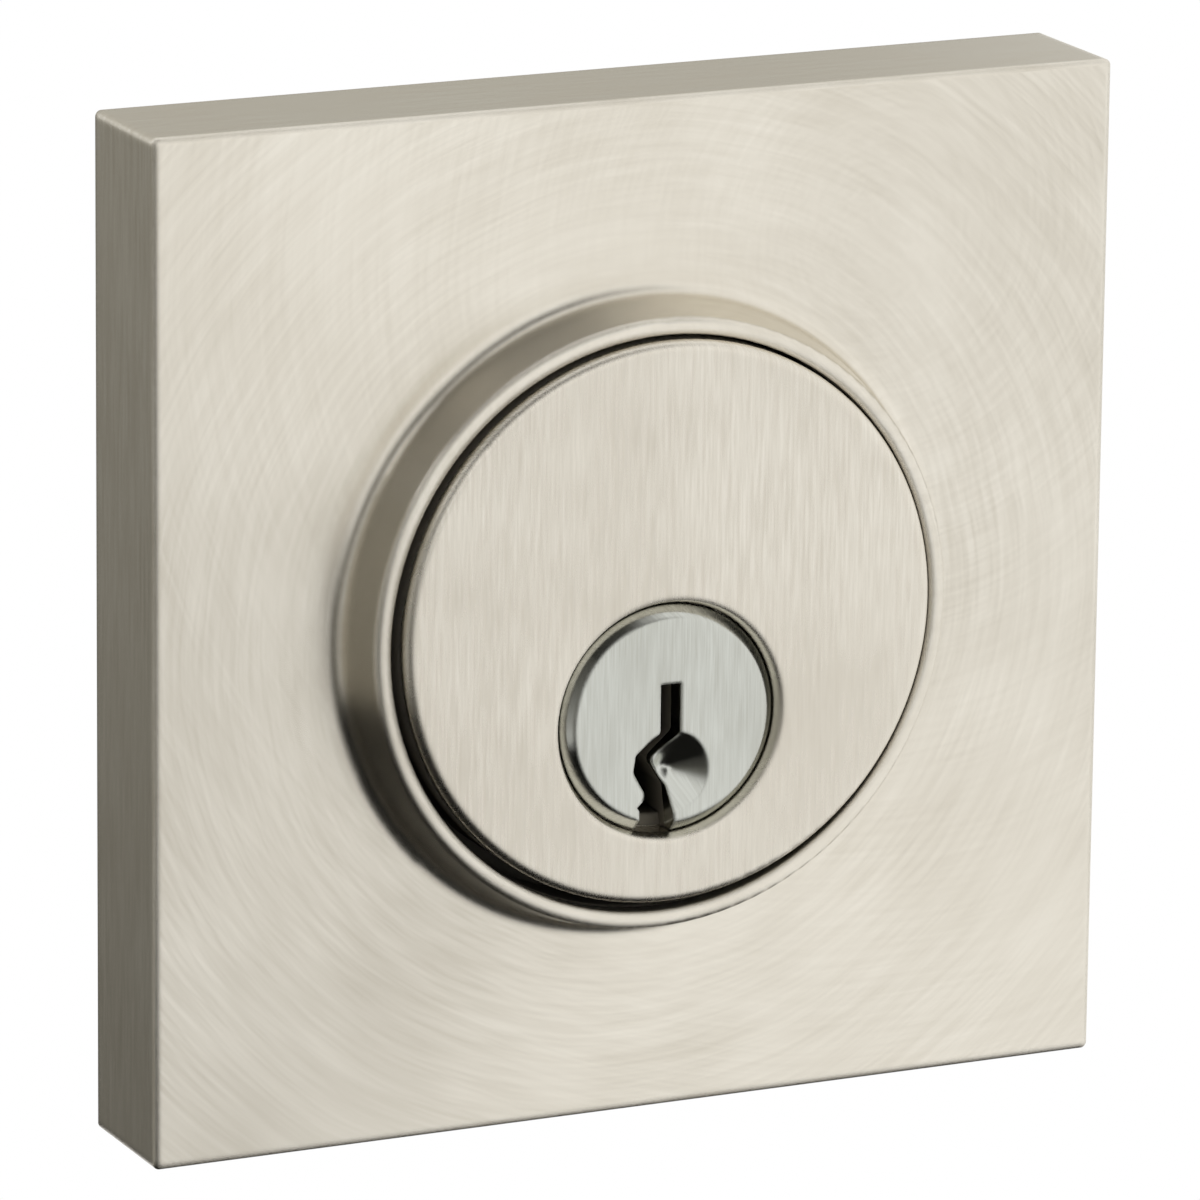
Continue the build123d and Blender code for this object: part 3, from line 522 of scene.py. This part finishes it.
def make_threads(material):
    """Threads on the bare length of the two through-screws, between the posts and the inside plate."""
    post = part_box("screw_posts")[1]
    screw_z = post.z - post.x
    start = post.y + THREAD_PITCH
    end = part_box("inside_mount_plate")[0].y - THREAD_PITCH
    make_thread("thread_upper", screw_z, start, end, material)
    make_thread("thread_lower", -screw_z, start, end, material)


def make_camera():
    """The photograph's camera, solved from the rose's corners."""
    yaw_sin, yaw_cos = math.sin(CAMERA_YAW), math.cos(CAMERA_YAW)
    pitch_sin, pitch_cos = math.sin(CAMERA_PITCH), math.cos(CAMERA_PITCH)
    ahead = Vector((yaw_sin * pitch_cos, yaw_cos * pitch_cos, -pitch_sin))
    level = Vector((yaw_cos, -yaw_sin, 0))
    down = ahead.cross(level)
    right = math.cos(CAMERA_ROLL) * level + math.sin(CAMERA_ROLL) * down
    up = math.sin(CAMERA_ROLL) * level - math.cos(CAMERA_ROLL) * down
    data = bpy.data.cameras.new("camera")
    data.sensor_width = SENSOR_WIDTH
    data.lens = FOCAL_PIXELS / PHOTO_PIXELS * SENSOR_WIDTH
    data.clip_start = CLIP_START
    data.clip_end = CAMERA_DISTANCE + CLIP_BEHIND_TARGET
    camera = bpy.data.objects.new("camera", data)
    turn = Matrix((right, up, -ahead)).transposed()
    camera.matrix_world = Matrix.Translation(CAMERA_TARGET - ahead * CAMERA_DISTANCE) @ turn.to_4x4()
    bpy.context.scene.collection.objects.link(camera)
    bpy.context.scene.camera = camera


def make_world():
    """White to the camera and in reflections, and a softer level for the light that it gives."""
    world = bpy.data.worlds.new("studio")
    bpy.context.scene.world = world
    world.use_nodes = True
    tree = world.node_tree
    shown = tree.nodes["Background"]
    shown.inputs["Color"].default_value = (1, 1, 1, 1)
    shown.inputs["Strength"].default_value = 1.0
    light = tree.nodes.new("ShaderNodeBackground")
    light.inputs["Color"].default_value = (1, 1, 1, 1)
    light.inputs["Strength"].default_value = WORLD_LIGHT
    path = tree.nodes.new("ShaderNodeLightPath")
    seen = path.outputs["Is Camera Ray"]
    for output in ("Is Glossy Ray", "Is Transmission Ray"):
        both = tree.nodes.new("ShaderNodeMath")
        both.operation = "MAXIMUM"
        tree.links.new(seen, both.inputs[0])
        tree.links.new(path.outputs[output], both.inputs[1])
        seen = both.outputs[0]
    mix = tree.nodes.new("ShaderNodeMixShader")
    tree.links.new(seen, mix.inputs["Fac"])
    tree.links.new(light.outputs[0], mix.inputs[1])
    tree.links.new(shown.outputs[0], mix.inputs[2])
    tree.links.new(mix.outputs[0], tree.nodes["World Output"].inputs["Surface"])


def plane(name, width, height, centre, facing):
    """A flat rectangle about a centre, turned to face a point."""
    mesh = bpy.data.meshes.new(name)
    corners = [(-width / 2, -height / 2, 0), (width / 2, -height / 2, 0),
               (width / 2, height / 2, 0), (-width / 2, height / 2, 0)]
    mesh.from_pydata(corners, [], [(0, 1, 2, 3)])
    made = bpy.data.objects.new(name, mesh)
    bpy.context.scene.collection.objects.link(made)
    made.location = centre
    made.rotation_euler = (Vector(facing) - Vector(centre)).to_track_quat("Z", "Y").to_euler()
    return made


def make_floor():
    """A pale floor that keeps the shadow near the lock and fades to white further out."""
    floor = plane("floor", FLOOR_SIZE, FLOOR_SIZE, (0, 0, FLOOR_Z), (0, 0, 0))
    graph = Graph("floor")
    graph.set(Base_Color=FLOOR_COLOUR, Roughness=FLOOR_ROUGHNESS)
    x, y, _ = graph.place()
    fade = graph.span(graph.length(x, y), *FLOOR_FADE, 0, 1)
    white = graph.node("ShaderNodeEmission")
    mix = graph.node("ShaderNodeMixShader")
    graph.put(mix.inputs["Fac"], fade)
    graph.put(mix.inputs[1], graph.shader.outputs[0])
    graph.put(mix.inputs[2], white.outputs[0])
    graph.put(graph.output.inputs["Surface"], mix.outputs[0])
    floor.data.materials.append(graph.material)
    floor.visible_glossy = False


def make_lamp(name, power, size, place):
    """A soft square lamp that points at the lock."""
    data = bpy.data.lights.new(name, "AREA")
    data.energy = power
    data.size = size
    lamp = bpy.data.objects.new(name, data)
    lamp.location = place
    lamp.rotation_euler = (-Vector(place)).to_track_quat("-Z", "Y").to_euler()
    lamp.visible_glossy = False
    bpy.context.scene.collection.objects.link(lamp)


def card_cover(graph, across, climb, fade):
    """How much a card covers: 1 inside, fading out at its left, right, foot and top."""
    left, right, foot, top = fade
    cover = graph.span(across, 0, left, 0, 1)
    for side in (graph.span(across, 1 - right, 1, 1, 0), graph.span(climb, 0, foot, 0, 1),
                 graph.span(climb, 1 - top, 1, 1, 0)):
        cover = graph.math("MULTIPLY", cover, side)
    return cover


def make_flag(name, greys, direction, spread, fade, distance=FLAG_DISTANCE):
    """A dark card with soft edges that only reflections see, as a studio uses to shade metal."""
    turn, rise = (math.radians(angle) for angle in direction)
    width, height = (2 * distance * math.tan(math.radians(angle / 2)) for angle in spread)
    level = math.cos(rise)
    ahead = Vector((math.sin(turn) * level, -math.cos(turn) * level, math.sin(rise)))
    flag = plane(name, width, height, ahead * distance, (0, 0, 0))
    graph = Graph(name)
    graph.tree.nodes.remove(graph.shader)
    x, y, _ = graph.place()
    across = graph.span(x, width / 2, -width / 2, 0, 1)
    climb = graph.span(y, -height / 2, height / 2, 0, 1)
    glow = graph.node("ShaderNodeEmission")
    graph.put(glow.inputs["Color"], graph.colour(climb, *(tint(FLAG_TINT, grey) for grey in greys)))
    clear = graph.node("ShaderNodeBsdfTransparent")
    mix = graph.node("ShaderNodeMixShader")
    graph.put(mix.inputs["Fac"], card_cover(graph, across, climb, fade))
    graph.put(mix.inputs[1], clear.outputs[0])
    graph.put(mix.inputs[2], glow.outputs[0])
    graph.put(graph.output.inputs["Surface"], mix.outputs[0])
    flag.data.materials.append(graph.material)
    flag.visible_camera = False
    flag.visible_diffuse = False
    flag.visible_shadow = False


def make_stage():
    """Floor, lamps and the cards that shade the metal."""
    make_floor()
    for name, settings in LAMPS.items():
        make_lamp(name, *settings)
    for name, settings in FLAGS.items():
        make_flag(name, *settings)


bpy.context.scene.view_settings.view_transform = "Standard"
finishes = make_finishes()
assign_finishes(finishes)
make_threads(finishes["zinc_steel"].material)
make_camera()
make_world()
make_stage()
